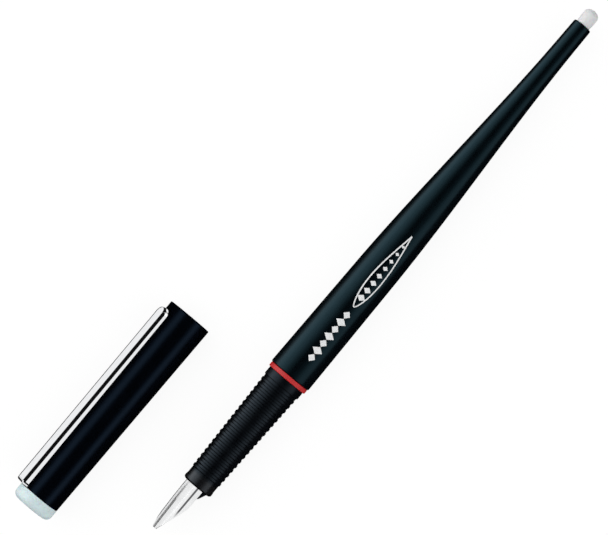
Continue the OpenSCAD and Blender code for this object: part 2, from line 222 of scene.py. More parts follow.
def nib_steel():
    """Satin steel, with painted shade: dark colour in the slit and in the two pressed folds beside
    it.
    """
    m = Nodes("nib_satin_steel")
    m.set(metallic=1.0)
    lines = m.noise(2600, 3, where=m.scaled(0.05, 1, 1))
    parts = m.node("SeparateXYZ")
    m.link(m.place, parts.inputs["Vector"])
    turn = m.math("SUBTRACT", m.math("ARCTAN2", parts.outputs["Y"], parts.outputs["Z"]), -ROLL)
    turned_by = m.math("ABSOLUTE", turn, 0)
    off_fold = m.math("ABSOLUTE", m.math("SUBTRACT", turned_by, FOLD_ANGLE), 0)
    fold = m.math("MULTIPLY", m.ramp(off_fold, 1, 0, 0.052, 0.105),
                  m.ramp(parts.outputs["X"], 0, 1, FOLD_END * MM, (FOLD_END + 2) * MM))
    slit = m.math("MULTIPLY", m.ramp(turned_by, 0.65, 0, 0.028, 0.055),
                  m.ramp(parts.outputs["X"], 1, 0, (SLIT_END - 1) * MM, SLIT_END * MM))
    # Painted shade: the slit and the two pressed folds are coloured dark
    painted_shade = m.math("MULTIPLY", m.math("MAXIMUM", fold, slit), 0.92)
    plain = m.colours(m.ramp(m.noise(500, 4), 0, 1), (0.93, 0.935, 0.94), (0.86, 0.865, 0.87))
    m.link(m.colours(painted_shade, plain, (0.05, 0.05, 0.055)), m.shader.inputs["Base Color"])
    m.link(m.ramp(lines, 0.2, 0.32, 0, 1), m.shader.inputs["Roughness"])
    m.bump(lines, 0.12, 0.00001)
    return m.material


def metal(name, colour, shade, rough_low, rough_high, strength):
    """Bright metal with fine grain along the pen and a little tarnish."""
    m = Nodes(name)
    m.set(metallic=1.0)
    lines = m.noise(2600, 3, where=m.scaled(0.05, 1, 1))
    m.mottled(500, 4, colour, shade)
    m.link(m.ramp(lines, rough_low, rough_high, 0, 1), m.shader.inputs["Roughness"])
    m.bump(lines, strength, 0.00001)
    return m.material


def red_plastic():
    m = Nodes("ring_red_plastic")
    m.set(specular=0.45, subsurface=0.05, subsurface_scale=0.0005)
    m.mottled(800, 4, (0.64, 0.023, 0.025), (0.57, 0.019, 0.021))
    m.rough(1200, 0.3, 0.42)
    m.bump(m.noise(5000, 2), 0.12, 0.00002)
    return m.material


def clear_plastic():
    m = Nodes("converter_clear_plastic")
    m.set(transmission=1.0, ior=1.49)
    m.mottled(300, 3, (0.93, 0.96, 0.97), (0.88, 0.92, 0.94))
    m.rough(900, 0.03, 0.1)
    m.bump(m.noise(2600, 2), 0.05, 0.00001)
    return m.material


def print_white():
    m = Nodes("print_white_ink")
    m.set(specular=0.3)
    m.mottled(2600, 4, (0.95, 0.96, 0.96), (0.85, 0.87, 0.88))
    m.rough(1800, 0.4, 0.6)
    m.bump(m.noise(6000, 2), 0.1, 0.00001)
    return m.material


def rubber():
    m = Nodes("seal_rubber")
    m.set(specular=0.3)
    m.mottled(900, 4, (0.018, 0.018, 0.02), (0.035, 0.035, 0.037))
    m.rough(1500, 0.5, 0.7)
    m.bump(m.noise(5200, 3), 0.3, 0.00003)
    return m.material


# Where the grip's clear coat and painted sheen on the nose end; the nib's turn about the pen, its
# folds and its slit
NOSE_PAINTED_SHEEN_AND_COAT_TO = -29.9
ROLL = math.radians(-40)
FOLD_ANGLE, FOLD_END, SLIT_END = math.radians(48.7), -41.0, -37.0

# Tints of the black plastics' reflections
TEAL = (0.34, 0.78, 1.0)
BLUE = (0.6, 0.8, 1.0)
DEEP_BLUE = (0.32, 0.58, 1.0)

CONVERTER_BLACK = ((0.01, 0.01, 0.011), (0.018, 0.018, 0.02), BLUE, 0.4)
LOOKS = {
    "grip_section": grip_plastic(),
    "barrel": black_plastic("barrel_black_plastic", (0.0006, 0.0012, 0.002),
                            (0.001, 0.002, 0.0032), TEAL, 0.5, 0.24, 0.31),
    "cap_tube": black_plastic("cap_black_plastic", (0.0004, 0.0006, 0.0016),
                              (0.0007, 0.001, 0.0024), DEEP_BLUE, 0.5, 0.22, 0.28),
    "feed": black_plastic("feed_black_plastic", (0.002, 0.002, 0.003), (0.004, 0.004, 0.006),
                          BLUE, 0.4, 0.4, 0.55),
    "trim_ring": red_plastic(),
    "tail_plug": pale_plastic("tail_plug_plastic", (0.82, 0.83, 0.84), (0.76, 0.77, 0.78)),
    "cap_plug": pale_plastic("cap_plug_plastic", (0.74, 0.88, 0.9), (0.68, 0.82, 0.84)),
    "inner_cap": pale_plastic("liner_plastic", (0.58, 0.6, 0.6), (0.5, 0.52, 0.52)),
    "nib": nib_steel(),
    "clip": metal("clip_bright_chrome", (0.93, 0.935, 0.95), (0.89, 0.9, 0.92), 0.04, 0.09, 0.05),
    "converter_band": metal("band_turned_steel", (0.8, 0.8, 0.81), (0.72, 0.72, 0.74),
                            0.15, 0.28, 0.2),
    "converter_tube": clear_plastic(),
    "converter_bush": black_plastic("bush_black_plastic", *CONVERTER_BLACK, 0.35, 0.5),
    "piston_rod": black_plastic("rod_black_plastic", *CONVERTER_BLACK, 0.35, 0.5),
    "converter_knob": black_plastic("knob_black_plastic", *CONVERTER_BLACK, 0.3, 0.45),
    "piston_seal": rubber(),
}
for name, material in LOOKS.items():
    mesh = frame["nodes"][name].data
    mesh.materials.clear()
    mesh.materials.append(material)

# ---------------------------------------------------------------- shapes

RING_STEPS = 96                 # points round a turned piece
SHARP = math.radians(38)        # edges sharper than this stay sharp in the shading
SAME_PLACE = 1e-7               # metres; points closer than this become one
TOUCHING = 1e-6                 # millimetres; a radius or a side shorter than this counts as none


def mesh_piece(name, points, faces):
    """A smooth piece from points in millimetres; faces turn outward by themselves."""
    mesh = bpy.data.meshes.new(name)
    mesh.from_pydata([Vector(p) * MM for p in points], [], faces)
    work = bmesh.new()
    work.from_mesh(mesh)
    bmesh.ops.remove_doubles(work, verts=work.verts, dist=SAME_PLACE)
    bmesh.ops.recalc_face_normals(work, faces=work.faces)
    work.to_mesh(mesh)
    work.free()
    for face in mesh.polygons:
        face.use_smooth = True
    mesh.set_sharp_from_angle(angle=SHARP)
    piece = bpy.data.objects.new(name, mesh)
    scene.collection.objects.link(piece)
    return piece


def blended(start, corner, end, steps=6):
    """A soft curve from start to end that bends at a corner."""
    made = []
    for i in range(steps + 1):
        t = i / steps
        made.append(start * (1 - t) ** 2 + corner * 2 * t * (1 - t) + end * t ** 2)
    return made


def softened(corners):
    """A closed outline from [x, r, round] corners, each rounded by its last number."""
    made = []
    for i, (x, r, size) in enumerate(corners):
        here = Vector((x, r))
        before = Vector(corners[i - 1][:2]) - here
        after = Vector(corners[(i + 1) % len(corners)][:2]) - here
        if not size or before.length < TOUCHING or after.length < TOUCHING:
            made.append(here)
            continue
        start = here + before.normalized() * min(size, before.length * 0.49)
        end = here + after.normalized() * min(size, after.length * 0.49)
        made += blended(start, here, end)
    return made


def turned(name, outline, centre=(0, 0), steps=RING_STEPS, shape=None):
    """A closed outline of (x, r) turned about the X axis.

    shape(x, r, angle) may change the radius from place to place.
    """
    points, rings = [], []
    for x, r in outline:
        if r < TOUCHING:
            rings.append([len(points)] * steps)
            points.append((x, centre[0], centre[1]))
            continue
        rings.append(range(len(points), len(points) + steps))
        for k in range(steps):
            angle = 2 * math.pi * k / steps
            radius = shape(x, r, angle) if shape else r
            points.append((x, centre[0] + radius * math.sin(angle),
                           centre[1] + radius * math.cos(angle)))
    faces = []
    for a, b in zip(rings, rings[1:] + rings[:1]):
        for k in range(steps):
            n = (k + 1) % steps
            face = []
            for corner in (a[k], a[n], b[n], b[k]):
                if corner not in face:
                    face.append(corner)
            if len(face) > 2:
                faces.append(face)
    return mesh_piece(name, points, faces)


def lofted(sections, points, faces, first_cap=True, last_cap=True):
    """Joins closed sections of equal length one after another, onto points and faces."""
    base, count = len(points), len(sections[0])
    for section in sections:
        points += section
    for i in range(len(sections) - 1):
        for k in range(count):
            a, b = base + i * count, base + (i + 1) * count
            n = (k + 1) % count
            faces.append((a + k, a + n, b + n, b + k))
    if first_cap:
        faces.append(tuple(range(base, base + count)))
    if last_cap:
        last = base + count * (len(sections) - 1)
        faces.append(tuple(range(last, last + count)))


def carved(piece, cutter):
    """Cuts a shape out of a piece for good, and removes the cutting shape."""
    change = piece.modifiers.new("cut", "BOOLEAN")
    change.object = cutter
    change.solver = "EXACT"
    settled(piece)
    bpy.data.objects.remove(cutter)


def settled(piece):
    """Keeps what a piece's modifiers make as its mesh."""
    bpy.context.view_layer.update()
    ready = piece.evaluated_get(bpy.context.evaluated_depsgraph_get())
    mesh = bpy.data.meshes.new_from_object(ready)
    piece.modifiers.clear()
    piece.data = mesh
    for face in mesh.polygons:
        face.use_smooth = True
    mesh.set_sharp_from_angle(angle=SHARP)


def bevelled(piece, width, steps=2):
    """Rounds a piece's sharp edges with a bevel modifier."""
    change = piece.modifiers.new("edges", "BEVEL")
    change.width = width * MM
    change.segments = steps
    change.limit_method = "ANGLE"
    change.angle_limit = SHARP
    change.harden_normals = False


def adopt(piece, node):
    """The piece stands for a CAD node: it takes its material and its body, and the node is hidden.
    """
    piece.data.materials.clear()
    piece.data.materials.append(LOOKS[node])
    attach(piece, BODY_OF[node])
    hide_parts(node)


def smooth(t):
    """A soft step from 0 to 1."""
    t = min(max(t, 0), 1)
    return t * t * (3 - 2 * t)


def station(node):
    """Front end, rear end and largest radius of a CAD node, in millimetres."""
    low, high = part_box(node)
    return low.x / MM, high.x / MM, (high.z - low.z) / 2 / MM


def helix(x, angle, pitch):
    """A soft-edged thread's height from 0 to 1, for a right-hand thread along +X."""
    turn = (x / pitch - angle / (2 * math.pi)) % 1
    return smooth(4 * abs(turn - 0.5) - 0.5)


def spaced(start, end, step):
    """Evenly spaced places from start to end."""
    count = max(1, round(abs(end - start) / step))
    return [start + (end - start) * i / count for i in range(count + 1)]


# ---------------------------------------------------------------- the pen, in millimetres

GRIP_FRONT, TENON_END, COLLAR_R = station("grip_section")
BARREL_FRONT, BARREL_END, _ = station("barrel")
RING_FRONT, RING_END, RING_R = station("trim_ring")
PLUG_FRONT, PLUG_END, PLUG_R = station("tail_plug")
TENON_R = RING_R - 0.6
RUN, SNUG = 0.05, 0.02          # play of a running fit and of a fixed fit

NOSE_R, NOSE_LIP, NOSE_BEVEL = 3.8, 0.09, 0.35
RIBS, RIB_PITCH, RIB_LAST, RIB_DEPTH = 19, 1.402, -3.2, 0.2
RIB_FIRST = RIB_LAST - RIB_PITCH * (RIBS - 1)
RIB_FRONT_R, RIB_REAR_R, RIB_CROWN = 4.0, 4.72, 0.03
FLOOR_EDGE, CREST_EDGE = 0.17, 0.31
COLLAR_FRONT = -1.95
NOSE_BORE, WEB_FRONT, WEB_BACK = 3.0, -21.5, -20
PIPE_R, PIPE_BORE, PIPE_END = 1.3, 0.85, -15
NECK_ROOM_R, NECK_ROOM_END, TUBE_ROOM_R = 3.2, -7.6, 3.8
THREAD_PITCH, THREAD_START, THREAD_DEPTH, THREAD_FADE = 1.2, 1.6, 0.28, 0.8
THREAD_END = TENON_END - 0.5


def make_grip():
    """The grip: lipped nose, ribs, collar and screw tenon outside, then the bores inside."""
    def crest(x):
        return RIB_FRONT_R + (RIB_REAR_R - RIB_FRONT_R) * (x - RIB_FIRST) / (RIB_LAST - RIB_FIRST)

    # From the middle of one groove to the middle of a rib, counted in ribs
    half_rib = (spaced(0, FLOOR_EDGE, 0.09) + spaced(FLOOR_EDGE, CREST_EDGE, 0.045)[1:]
                + spaced(CREST_EDGE, 0.5, 0.1)[1:])
    whole_rib = half_rib + [1 - phase for phase in reversed(half_rib[1:-1])]
    ribs = []
    for phase in [rib + part for rib in range(RIBS) for part in whole_rib] + [RIBS]:
        x = RIB_FIRST + RIB_PITCH * (phase - 0.5)
        off_groove = 0.5 - abs(phase % 1 - 0.5)
        height = smooth((off_groove - FLOOR_EDGE) / (CREST_EDGE - FLOOR_EDGE))
        crown = RIB_CROWN * (1 - 2 * off_groove) ** 2
        ribs.append((x, crest(x) - (RIB_DEPTH - RIB_CROWN) * (1 - height) - crown, 0))
    front = GRIP_FRONT
    outline = softened(
        [(front, NOSE_BORE, 0.12), (front, NOSE_R - NOSE_BEVEL, 0.15),
         (front + NOSE_BEVEL, NOSE_R + NOSE_LIP, 0.18),
         (front + 3 * NOSE_BEVEL, NOSE_R + NOSE_LIP, 0.15),
         (front + 4 * NOSE_BEVEL, NOSE_R, 0.15), (ribs[0][0] - 0.1, NOSE_R, 0.08)]
        + ribs
        + [(COLLAR_FRONT - 0.35, RIB_REAR_R - 0.16, 0.1),
           (COLLAR_FRONT - 0.05, RIB_REAR_R - 0.1, 0.1),
           (COLLAR_FRONT, COLLAR_R, 0.1), (0, COLLAR_R, 0.08), (0, TENON_R, 0.06)]
        + [(x, TENON_R, 0) for x in spaced(THREAD_START, TENON_END - 0.4, THREAD_PITCH / 16)]
        + [(TENON_END, TENON_R - 0.35, 0.1), (TENON_END, TUBE_ROOM_R, 0.1),
           (NECK_ROOM_END, TUBE_ROOM_R, 0.05), (NECK_ROOM_END, NECK_ROOM_R, 0.05),
           (WEB_BACK, NECK_ROOM_R, 0.1), (WEB_BACK, PIPE_R, 0.1), (PIPE_END, PIPE_R, 0.15),
           (PIPE_END, PIPE_BORE, 0.1), (WEB_FRONT, PIPE_BORE, 0.1), (WEB_FRONT, NOSE_BORE, 0.1)])

    def thread(x, r, angle):
        if not THREAD_START < x < THREAD_END or r < TENON_R - 0.01:
            return r
        fade = smooth((x - THREAD_START) / THREAD_FADE) * smooth((THREAD_END - x) / THREAD_FADE)
        return r - THREAD_DEPTH * fade * (1 - helix(x, angle, THREAD_PITCH))

    adopt(turned("ribbed_grip", outline, shape=thread), "grip_section")


def make_ring():
    adopt(turned("red_trim_ring", softened([
        (RING_FRONT, TENON_R + RUN, 0.08), (RING_FRONT, RING_R, 0.2),
        (RING_END, RING_R, 0.2), (RING_END, TENON_R + RUN, 0.08)])), "trim_ring")


BARREL_FRONT_R, BARREL_TAPER = 5.48, 0.011
TAIL_NARROWING, TAIL_START, TAIL_LENGTH = 2, 31.6, 69
BARREL_WALL, BORE_R, BORE_END, STEM_R = 0.8, 4.1, 95.2, 1.35
SOCKET_END, SOCKET_THREAD_DEPTH = 10, 0.2


def barrel_radius(x):
    """One straight taper, and one smooth narrowing into the tail."""
    return (BARREL_FRONT_R - BARREL_TAPER * x
            - TAIL_NARROWING * smooth((x - TAIL_START) / TAIL_LENGTH))


def make_barrel():
    """The barrel: long tapering outside, stem bore at the tail, room inside, threaded socket."""
    end = BARREL_END
    thread_front, thread_end = BARREL_FRONT + 0.8, SOCKET_END - 1.2
    outline = softened(
        [(BARREL_FRONT, TENON_R + RUN, 0.12), (BARREL_FRONT, barrel_radius(BARREL_FRONT), 0.45)]
        + [(x, barrel_radius(x), 0) for x in spaced(BARREL_FRONT + 0.9, end - 0.9, 1.2)]
        + [(end, barrel_radius(end), 0.45), (end, STEM_R + SNUG, 0.1),
           (BORE_END, STEM_R + SNUG, 0.2)]
        + [(x, min(BORE_R, barrel_radius(x) - BARREL_WALL), 0)
           for x in spaced(BORE_END, SOCKET_END, 4)]
        + [(SOCKET_END, TENON_R + RUN, 0.1)]
        + [(x, TENON_R + RUN, 0) for x in spaced(thread_end, thread_front, 0.1)])

    def thread(x, r, angle):
        if abs(r - TENON_R - RUN) > 0.001 or not thread_front < x < thread_end:
            return r
        fade = smooth((x - thread_front) / THREAD_FADE) * smooth((thread_end - x) / THREAD_FADE)
        return r + SOCKET_THREAD_DEPTH * fade * helix(x, angle, THREAD_PITCH)

    adopt(turned("long_barrel", outline, shape=thread), "barrel")


TAIL_DOME = 1.4


def make_tail_plug():
    dome = []
    for a in range(6, 90, 6):
        a = math.radians(a)
        dome.append((PLUG_END - TAIL_DOME * (1 - math.sin(a)), PLUG_R * math.cos(a), 0))
    adopt(turned("pale_tail_plug", softened(
        [(PLUG_FRONT, 0, 0), (PLUG_FRONT, STEM_R, 0.2), (BARREL_END + SNUG, STEM_R, 0),
         (BARREL_END + SNUG, PLUG_R - 0.1, 0.15), (BARREL_END + 1.4, PLUG_R, 0.3),
         (PLUG_END - TAIL_DOME, PLUG_R, 0)] + dome + [(PLUG_END, 0, 0)])), "tail_plug")


# ---------------------------------------------------------------- nib and feed

NIB_TIP, NIB_BACK, _ = station("nib")
NIB_R, NIB_TIP_R, NIB_T, NIB_HALF = 2.95, 2.47, 0.3, math.radians(77)
TIP_W, POINT, SLIT, SLIT_W = 1.1, 9.5, 8.5, 0.12
TIP_CURVE, EDGE_CURVE = 1.8, 1.9    # powers of the nib's drop and of its sides toward the tip
FOLD_DEPTH, FOLD_W = 0.05, 0.045
NIB_STEPS = 48


def rolled(x, y, z):
    """A place on the upright nib, turned with it about the pen."""
    return (x, y * math.cos(ROLL) - z * math.sin(ROLL), y * math.sin(ROLL) + z * math.cos(ROLL))


def nib_radius(x):
    along = max(GRIP_FRONT - x, 0) / (GRIP_FRONT - NIB_TIP)
    return NIB_R - (NIB_R - NIB_TIP_R) * along ** TIP_CURVE


def nib_edge(x):
    """Angle from the nib's middle to its edge."""
    shoulder = NIB_TIP + POINT
    if x >= shoulder:
        return NIB_HALF
    wide = nib_radius(shoulder) * math.sin(NIB_HALF)
    half = wide - (wide - TIP_W / 2) * ((shoulder - x) / POINT) ** EDGE_CURVE
    return math.asin(min(half / nib_radius(x), math.sin(NIB_HALF)))


def nib_section(x, angles):
    """A closed cross-section of the curved plate, through these angles and back inside."""
    def outside(a):
        off = (abs(a) - FOLD_ANGLE) / FOLD_W
        return nib_radius(x) - FOLD_DEPTH * smooth(x - FOLD_END) * math.exp(-off * off)

    inner = nib_radius(x) - NIB_T
    outer_row = [rolled(x, outside(a) * math.sin(a), outside(a) * math.cos(a)) for a in angles]
    inner_row = [rolled(x, inner * math.sin(a), inner * math.cos(a)) for a in reversed(angles)]
    return outer_row + inner_row


def make_nib():
    """One curved plate behind the slit, and a tine on each side of it."""
    points, faces = [], []
    slit_end = NIB_TIP + SLIT
    body = []
    for x in spaced(NIB_BACK, slit_end, 0.6):
        edge = nib_edge(x)
        body.append(nib_section(x, [edge * k / NIB_STEPS
                                    for k in range(-NIB_STEPS, NIB_STEPS + 1)]))
    lofted(body, points, faces, last_cap=False)
    for side in (-1, 1):
        tine = []
        for x in spaced(slit_end, NIB_TIP, 0.25):
            edge, r = nib_edge(x), nib_radius(x)
            gap = math.asin(SLIT_W / 2 / r) * smooth((slit_end - x) / 0.5)
            tine.append(nib_section(x, [side * (gap + (edge - gap) * (k / NIB_STEPS))
                                        for k in range(NIB_STEPS + 1)]))
        lofted(tine, points, faces, first_cap=False)
    nib = mesh_piece("italic_nib", points, faces)
    bevelled(nib, 0.05)
    adopt(nib, "nib")


FEED_TIP, FEED_PIN_END, _ = station("feed")
FEED_STEP, FEED_BACK = GRIP_FRONT + 0.3, -21.8
FEED_RISE, FEED_TIP_RISE, FEED_R, FEED_TIP_R = 0.35, 1.35, 2.5, 1.0
FEED_NOSE, FEED_NOSE_R = 2.2, 1.95
FEED_PIN_R, FEED_HEART, FEED_STEPS = 0.8, 1.2, 72
FINS, FIN_PITCH, FIN_GAP = 7, 0.75, 0.3


def make_feed():
    """The feed: full in the nose, then a slim finned tongue under the nib."""
    ledge = NIB_R * math.cos(NIB_HALF) - RUN
    fin_top = ledge + RUN - 0.2
    heart = FEED_HEART

    def reach(y, z, radius, centre):
        """Distance from the heart to a circle, along the direction (y, z)."""
        b = z * (heart - centre)
        return -b + math.sqrt(b * b - (heart - centre) ** 2 + radius ** 2)

    def section(x, fin):
        ring = []
        for k in range(FEED_STEPS):
            a = 2 * math.pi * k / FEED_STEPS
            y, z = math.sin(a), math.cos(a)
            under = reach(y, z, nib_radius(x) - NIB_T - RUN, 0)
            if x > FEED_STEP - 0.01:
                if heart + under * z < ledge:
                    under = reach(y, z, NIB_R, 0)
            else:
                t = (GRIP_FRONT - x) / (GRIP_FRONT - FEED_TIP)
                rise = FEED_RISE + (FEED_TIP_RISE - FEED_RISE) * t
                tongue = reach(y, z, FEED_R + (FEED_TIP_R - FEED_R) * t, rise)
                near = (x - GRIP_FRONT + FEED_NOSE) / FEED_NOSE
                if near > 0:
                    nose = FEED_NOSE_R + (NIB_R - FEED_NOSE_R) * min(near, 1)
                    tongue = max(tongue, reach(y, z, nose, 0))
                below = reach(y, z, NIB_R, 0)
                under = min(below if heart + under * z < ledge else under, tongue)
                if not fin and z < -0.01:
                    under = min(under, (fin_top - heart) / z)
            ring.append(rolled(x, under * y, heart + under * z))
        return ring

    sections = [section(x, True) for x in spaced(FEED_BACK, FEED_STEP, 1.2)]
    sections += [section(x, True) for x in spaced(FEED_STEP - 0.02, GRIP_FRONT - FEED_NOSE, 0.3)]
    first_fin = GRIP_FRONT - FEED_NOSE - 0.1
    x = first_fin + 0.05
    for i in range(FINS):
        gap_end = first_fin - i * FIN_PITCH
        sections += [section(x, True), section(gap_end, True), section(gap_end - 0.01, False),
                     section(gap_end - FIN_GAP, False)]
        x = gap_end - FIN_GAP - 0.01
    sections += [section(x, True)] + [section(s, True) for s in spaced(x - 0.2, FEED_TIP, 0.4)]
    points, faces = [], []
    lofted(sections, points, faces)
    pin = turned("feed_pin", softened([
        (FEED_BACK - 1, 0, 0), (FEED_BACK - 1, FEED_PIN_R, 0),
        (FEED_PIN_END, FEED_PIN_R, 0.1), (FEED_PIN_END, 0, 0)]), steps=32)
    start = len(points)
    points += [v.co / MM for v in pin.data.vertices]
    faces += [tuple(start + v for v in f.vertices) for f in pin.data.polygons]
    bpy.data.objects.remove(pin)
    feed = mesh_piece("finned_feed", points, faces)
    bevelled(feed, 0.03, 1)
    adopt(feed, "feed")


# ---------------------------------------------------------------- converter

TUBE_FRONT, TUBE_END, TUBE_R = station("converter_tube")
KNOB_FRONT, KNOB_END, KNOB_R = station("converter_knob")
ROD_FRONT, ROD_END, _ = station("piston_rod")
MOUTH_R, MOUTH_DEPTH, CHANNEL_R = 1.35, 5, 1
NECK_R, NECK_END, CHAMBER_START, CHAMBER_R = 3.1, -7, -6.5, 3.05
SLEEVE_BORE, SLEEVE_R, COLLAR_START, COLLAR_END, SLEEVE_COLLAR_R = 1.65, 2.2, 31.8, 33.1, 2.8
GRASP_START, FLUTE_START, FLUTES, FLUTE_DEPTH = 34.4, 36.5, 24, 0.2
ROD_R, ROD_PIN_R, ROD_PIN_END = 1.6, 0.9, 20.6
SCREW_START, SCREW_PITCH, SCREW_DEPTH, ROD_FLAT = 21, 2.75, 0.2, 1.2


def make_tube():
    """The clear ink tube: outside from its mouth to its open end, then back inside."""
    mouth_end = TUBE_FRONT + MOUTH_DEPTH
    adopt(turned("clear_ink_tube", softened([
        (TUBE_FRONT, MOUTH_R, 0.15), (TUBE_FRONT, NECK_R - 0.5, 0.2),
        (TUBE_FRONT + 0.5, NECK_R, 0.2), (NECK_END, NECK_R, 0.2), (CHAMBER_START, TUBE_R, 0.3),
        (TUBE_END, TUBE_R, 0.1), (TUBE_END, CHAMBER_R, 0.1), (CHAMBER_START, CHAMBER_R, 0.3),
        (CHAMBER_START, CHANNEL_R, 0.1), (mouth_end, CHANNEL_R, 0.1),
        (mouth_end, MOUTH_R, 0.1)])), "converter_tube")


def make_knob():
    """A collared sleeve, and a fluted grasp with its closed end."""
    def flutes(x, r, angle):
        if x < FLUTE_START or r < KNOB_R - 0.6:
            return r
        valley = max(math.cos(FLUTES * angle), 0) ** 2
        return r - FLUTE_DEPTH * smooth((x - FLUTE_START) / 0.4) * valley

    adopt(turned("fluted_knob", softened(
        [(KNOB_FRONT, SLEEVE_BORE, 0.1), (KNOB_FRONT, SLEEVE_R, 0.1),
         (COLLAR_START, SLEEVE_R, 0.05), (COLLAR_START, SLEEVE_COLLAR_R, 0.1),
         (COLLAR_END, SLEEVE_COLLAR_R, 0.1), (COLLAR_END, SLEEVE_R, 0.05),
         (GRASP_START, SLEEVE_R, 0.05), (GRASP_START, KNOB_R, 0.25)]
        + [(x, KNOB_R, 0) for x in spaced(GRASP_START + 0.6, KNOB_END - 0.7, 0.5)]
        + [(KNOB_END, KNOB_R - 0.35, 0.3), (KNOB_END, 0, 0), (KNOB_END - 1.5, 0, 0),
           (KNOB_END - 1.5, SLEEVE_BORE, 0.1)]), steps=192, shape=flutes), "converter_knob")


def make_rod():
    """The piston rod: a plain pin in the seal, then a screw with two flat sides."""
    def screw(x, r, angle):
        if r > ROD_R - 0.05 and x > SCREW_START:
            r -= SCREW_DEPTH * (1 - helix(x, angle, SCREW_PITCH))
        return min(r, ROD_FLAT / max(abs(math.sin(angle)), TOUCHING))

    adopt(turned("screw_rod", softened(
        [(ROD_FRONT, 0, 0), (ROD_FRONT, ROD_PIN_R, 0.15), (ROD_PIN_END, ROD_PIN_R, 0),
         (ROD_PIN_END, ROD_R, 0.1)]
        + [(x, ROD_R, 0) for x in spaced(ROD_PIN_END + 0.3, ROD_END - 0.2, 0.2)]
        + [(ROD_END, ROD_R - 0.1, 0.1), (ROD_END, 0, 0)]), steps=48, shape=screw), "piston_rod")


# ---------------------------------------------------------------- the cap, drawn from its mouth

_, CAP_MOUTH, _ = station("cap_tube")
CAP_CENTRE = (CAP_AXIS.y / MM, CAP_AXIS.z / MM)
CAP_LEN, CAP_MOUTH_R, CAP_END_R = 54.0, 5.57, 5.19
CAP_BORE, CAP_BORE_END, CAP_LAND = 4.92, 4.62, 4.0
CAP_STEM_START, CAP_STEM_R, CAP_HOLLOW_R, CAP_DOME = 50.2, 4.6, 3.7, 1.4
CAP_TOP = CAP_LEN + 3.3
CLIP_ROLL = math.radians(63)
TANG_GAP, CLIP_W, CLIP_T, CLIP_H = 0.12, 3.7, 0.35, 1.6
EDGE_W, EDGE_H = 0.25, 0.8
CLIP_TOP_W = CLIP_W - 2 * EDGE_W
NOTCH_W, NOTCH_DEPTH = CLIP_TOP_W + 0.2, CLIP_T + 2 * TANG_GAP
CLIP_ROOT = CAP_LEN - TANG_GAP
CLIP_TIP, BEND_R, BEND_STEPS, TIP_STEPS = 2.0, 0.7, 12, 32
TANG_FOOT = 3.6                 # how far the tang's end stays from the cap's axis
LEAN = 0.35 * math.atan((CAP_MOUTH_R - CAP_END_R) / CAP_LEN)


def cap_radius(u):
    return CAP_MOUTH_R + (CAP_END_R - CAP_MOUTH_R) * u / CAP_LEN


def from_mouth(corners):
    """Turns outline corners measured from the cap's mouth into places along X."""
    return softened([(CAP_MOUTH - u, r, size) for u, r, size in corners])


def on_cap(u, side, height):
    """A place measured from the mouth, across the clip, and out from the cap's axis."""
    y = side * math.cos(CLIP_ROLL) + height * math.sin(CLIP_ROLL)
    z = height * math.cos(CLIP_ROLL) - side * math.sin(CLIP_ROLL)
    return (CAP_MOUTH - u, CAP_CENTRE[0] + y, CAP_CENTRE[1] + z)


def box_on_cap(name, start, end, width, low, high):
    points = [on_cap(u, side * width / 2, height)
              for u in (start, end) for side in (-1, 1) for height in (low, high)]
    faces = [(0, 1, 3, 2), (4, 6, 7, 5), (0, 4, 5, 1), (2, 3, 7, 6), (0, 2, 6, 4), (1, 5, 7, 3)]
    return mesh_piece(name, points, faces)


def make_cap():
    """The tube with its notch for the clip, and the domed plug with room for the clip's tang."""
    tube = turned("black_cap_tube", from_mouth(
        [(0, CAP_BORE, 0.15), (0, CAP_MOUTH_R, 0.25)]
        + [(u, cap_radius(u), 0) for u in spaced(0.6, CAP_LEN - 0.4, 4)]
        + [(CAP_LEN, CAP_END_R, 0.12), (CAP_LEN, CAP_BORE_END, 0.08),
           (CAP_LAND, CAP_BORE, 0.3), (0.5, CAP_BORE, 0)]), CAP_CENTRE)
    carved(tube, box_on_cap("notch", CAP_LEN - NOTCH_DEPTH, CAP_LEN + 1, NOTCH_W, 2, 7))
    adopt(tube, "cap_tube")
    dome = []
    for a in range(10, 90, 10):
        a = math.radians(a)
        dome.append((CAP_TOP - CAP_DOME * (1 - math.sin(a)),
                     CAP_END_R - CAP_DOME * (1 - math.cos(a)), 0))
    plug = turned("pale_cap_plug", from_mouth(
        [(CAP_STEM_START, CAP_HOLLOW_R, 0.1), (CAP_STEM_START, CAP_STEM_R, 0.2),
         (CAP_LEN + SNUG, CAP_STEM_R, 0), (CAP_LEN + SNUG, CAP_END_R, 0.12),
         (CAP_TOP - CAP_DOME, CAP_END_R, 0)]
        + dome
        + [(CAP_TOP, CAP_END_R - CAP_DOME, 0), (CAP_TOP, 2, 0), (CAP_TOP, 0, 0),
           (CAP_LEN - 1, 0, 0), (CAP_LEN - 1, CAP_HOLLOW_R, 0.3)]), CAP_CENTRE)
    carved(plug, box_on_cap("tang_room", 49, CAP_LEN + TANG_GAP, NOTCH_W, 3.4, 7))
    adopt(plug, "cap_plug")


def clip_profile(depth):
    """Half of the folded strip's cross-section, as (side, down) from its middle and back to it."""
    half, flat, steps = CLIP_W / 2, CLIP_TOP_W / 2, 10
    crown = []
    for k in range(steps + 1):
        side = flat * k / steps
        soft_edge = max(side - 0.8 * flat, 0) / (0.2 * flat)
        crown.append((side, 0.02 * (k / steps) ** 2 + 0.035 * soft_edge ** 2, 0))
    return softened(crown + [
        (flat + 0.02, 0.07, 0.04), (half, EDGE_H, 0.1), (half, depth, 0.05),
        (half - CLIP_T, depth, 0.05), (half - CLIP_T, EDGE_H, 0.1),
        (flat - CLIP_T, CLIP_T, 0.1), (0, CLIP_T, 0)])


def side_depth(u, side):
    """How far down the folded side reaches, to stay just clear of the tube."""
    height = cap_radius(CLIP_ROOT) + (CLIP_ROOT - u) * math.tan(LEAN) + CLIP_H
    return height - math.sqrt(cap_radius(u) ** 2 - side ** 2) - RUN


